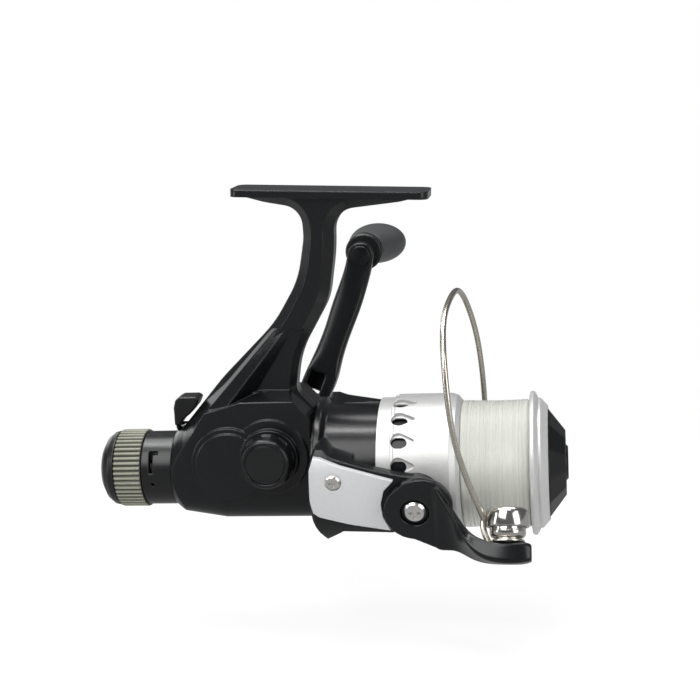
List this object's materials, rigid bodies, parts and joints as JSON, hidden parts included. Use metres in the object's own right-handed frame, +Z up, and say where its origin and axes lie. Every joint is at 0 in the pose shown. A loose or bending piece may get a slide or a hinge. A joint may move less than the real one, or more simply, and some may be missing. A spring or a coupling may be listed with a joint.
{
  "type": "spinning reel",
  "caption": "Rear-drag fixed-spool spinning reel with a folding crank handle, rotor with wire bail and line roller, a vented skirted spool full of clear line, and a plate foot.",
  "frame": {"origin": "middle of the foot's seat, on the face that lies against the rod", "axes": "+X forward along the spool's shaft, towards the rod tip; +Y towards the handle; +Z up towards the rod"},
  "size_m": [0.1504, 0.1312, 0.1128],
  "materials": {
    "black_gloss": "satin black moulding",
    "black_satin": "matt black plastic",
    "silver_paint": "satin silver paint",
    "silver_cover": "light silver-grey paint",
    "olive_rubber": "ribbed olive-grey grip",
    "bright_steel": "polished steel",
    "chrome_roller": "plated",
    "line": "translucent monofilament, wound",
    "brass": "machined brass",
    "zinc": "die-cast zinc gear",
    "knob_grey": "mid grey soft plastic",
    "friction_felt": "oiled felt and fibre",
    "bearing_steel": "ground bearing steel",
    "white_nylon": "natural nylon"
  },
  "bodies": {
    "body": {"body_housing": "black_gloss", "side_cover": "black_gloss", "cover_screws": "bright_steel", "crank_bushes": "white_nylon", "pinion_bearing": "bearing_steel", "bearing_retainer": "bright_steel", "retainer_screws": "bright_steel", "guide_rod": "bright_steel", "oscillation_axle": "bright_steel", "pawl_pin": "bright_steel", "drag_barrel": "black_satin", "eared_washers": "friction_felt"},
    "crank": {"drive_shaft": "bright_steel", "drive_gear": "zinc", "oscillation_pinion": "brass", "handle_hub": "black_gloss", "fold_pin": "bright_steel", "screw_cap": "black_gloss", "cap_disc": "black_satin"},
    "arm": {"handle_arm": "black_gloss", "knob_post": "bright_steel"},
    "knob": {"knob_collar": "black_satin", "handle_knob": "knob_grey"},
    "rotor": {"pinion": "brass", "ratchet": "bearing_steel", "rotor": "black_gloss", "bail_spring": "bright_steel", "rotor_nut": "brass", "near_arm_cover": "silver_cover", "far_arm_cover": "silver_cover", "arm_cover_screws": "bright_steel", "bail_pivot_screws": "bright_steel"},
    "bail": {"bail_lever": "black_gloss", "bail_far_lever": "black_gloss", "bail_wire": "bright_steel", "wire_bracket": "chrome_roller", "roller_pin": "bright_steel", "roller_washer": "white_nylon"},
    "roller": {"line_roller": "chrome_roller"},
    "oscillation": {"oscillation_gear": "white_nylon"},
    "slider": {"slider": "white_nylon", "slider_plate": "bright_steel"},
    "spool": {"main_shaft": "bright_steel", "shaft_clips": "bright_steel", "spool": "silver_paint", "wound_line": "line", "spool_front_ring": "silver_paint", "spool_cap": "black_gloss", "button_spring": "bright_steel"},
    "button": {"spool_button": "black_satin"},
    "drag_sleeve": {"drag_sleeve": "brass", "drag_discs": "bright_steel"},
    "drag_knob": {"drag_knob_core": "black_satin", "drag_knob_grip": "olive_rubber"},
    "drag_nut": {"pressure_nut": "white_nylon", "drag_spring": "bright_steel"},
    "reverse_lever": {"anti_reverse_lever": "black_satin", "reverse_rod": "bright_steel"},
    "pawl": {"pawl": "bearing_steel"}
  },
  "joints": [
    {"name": "crank_spin", "type": "hinge", "parent": "body", "child": "crank", "pos_m": [-0.022, 0, -0.0818], "axis": [0, 1, 0], "continuous": true},
    {"name": "handle_fold", "type": "hinge", "parent": "crank", "child": "arm", "pos_m": [-0.022, 0.054, -0.0818], "axis": [0.9285, 0, -0.3714], "range_deg": [0, 50]},
    {"name": "knob_spin", "type": "hinge", "parent": "arm", "child": "knob", "pos_m": [-0.00131, 0.08, -0.03008], "axis": [0, 1, 0], "continuous": true},
    {"name": "rotor_spin", "type": "hinge", "parent": "body", "child": "rotor", "pos_m": [-0.004, 0, -0.0886], "axis": [1, 0, 0], "continuous": true},
    {"name": "bail_open", "type": "hinge", "parent": "rotor", "child": "bail", "pos_m": [0.0243, 0, -0.0886], "axis": [0, 0.9744, 0.225], "range_deg": [0, 110]},
    {"name": "line_roller_spin", "type": "hinge", "parent": "bail", "child": "roller", "pos_m": [0.052, -0.02955, -0.0984], "axis": [0, -0.4384, -0.8988], "continuous": true},
    {"name": "oscillation_spin", "type": "hinge", "parent": "body", "child": "oscillation", "pos_m": [-0.03535, -0.00675, -0.0844], "axis": [0, 1, 0], "continuous": true},
    {"name": "spool_stroke", "type": "slide", "parent": "body", "child": "slider", "axis": [1, 0, 0], "range_m": [-0.006, 0.01]},
    {"name": "drag_slip", "type": "hinge", "parent": "slider", "child": "spool", "pos_m": [-0.002, 0, -0.0886], "axis": [1, 0, 0], "continuous": true},
    {"name": "button_press", "type": "slide", "parent": "spool", "child": "button", "axis": [-1, 0, 0], "range_m": [0, 0.0016], "stiffness_N_per_m": 400},
    {"name": "sleeve_spin", "type": "hinge", "parent": "body", "child": "drag_sleeve", "pos_m": [-0.062, 0, -0.0886], "axis": [1, 0, 0], "continuous": true},
    {"name": "drag_turn", "type": "hinge", "parent": "body", "child": "drag_knob", "pos_m": [-0.072, 0, -0.0886], "axis": [1, 0, 0], "range_deg": [-180, 180]},
    {"name": "drag_press", "type": "slide", "parent": "body", "child": "drag_nut", "axis": [1, 0, 0], "range_m": [-0.0005, 0.0005]},
    {"name": "reverse_switch", "type": "hinge", "parent": "body", "child": "reverse_lever", "pos_m": [-0.042, 0, -0.0744], "axis": [1, 0, 0], "range_deg": [0, 20]},
    {"name": "pawl_swing", "type": "hinge", "parent": "body", "child": "pawl", "pos_m": [0, -0.008, -0.0764], "axis": [1, 0, 0], "range_deg": [-5, 0]}
  ],
  "couplings": [
    {"joint": "rotor_spin", "follows": "crank_spin", "ratio": -5},
    {"joint": "oscillation_spin", "follows": "crank_spin", "ratio": -0.47826},
    {"joint": "sleeve_spin", "follows": "drag_slip", "ratio": 1},
    {"joint": "drag_press", "follows": "drag_turn", "m_per_rad": 0.00015915},
    {"joint": "pawl_swing", "follows": "reverse_switch", "ratio": -0.25}
  ]
}
